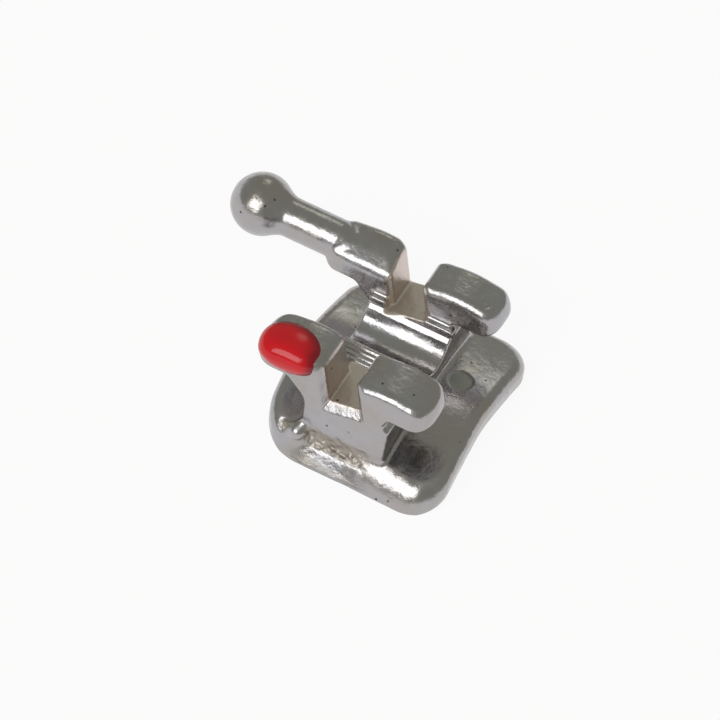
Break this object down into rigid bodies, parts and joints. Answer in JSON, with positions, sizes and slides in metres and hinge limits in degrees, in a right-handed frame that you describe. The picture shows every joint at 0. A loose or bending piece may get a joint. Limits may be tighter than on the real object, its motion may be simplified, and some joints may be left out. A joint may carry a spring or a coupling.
{
  "type": "orthodontic bracket",
  "caption": "Moulded steel twin bracket for an arch wire, with a torqued slot, tie wings, a ball hook, a curved bonding pad with retention posts, and a red enamel mark.",
  "frame": {"origin": "middle of the bonding base, on the foot of its middle retention post", "axes": "+X towards the biting edge with the ball hook at -X, +Y along the arch wire slot, +Z away from the tooth"},
  "size_m": [0.0055, 0.004, 0.0023],
  "materials": {
    "bracket": "metal injection moulded stainless steel, tumbled to a soft shine",
    "id_mark": "glossy red enamel"
  },
  "bodies": {
    "root": {"bracket": "bracket", "id_mark": "id_mark"}
  },
  "joints": []
}
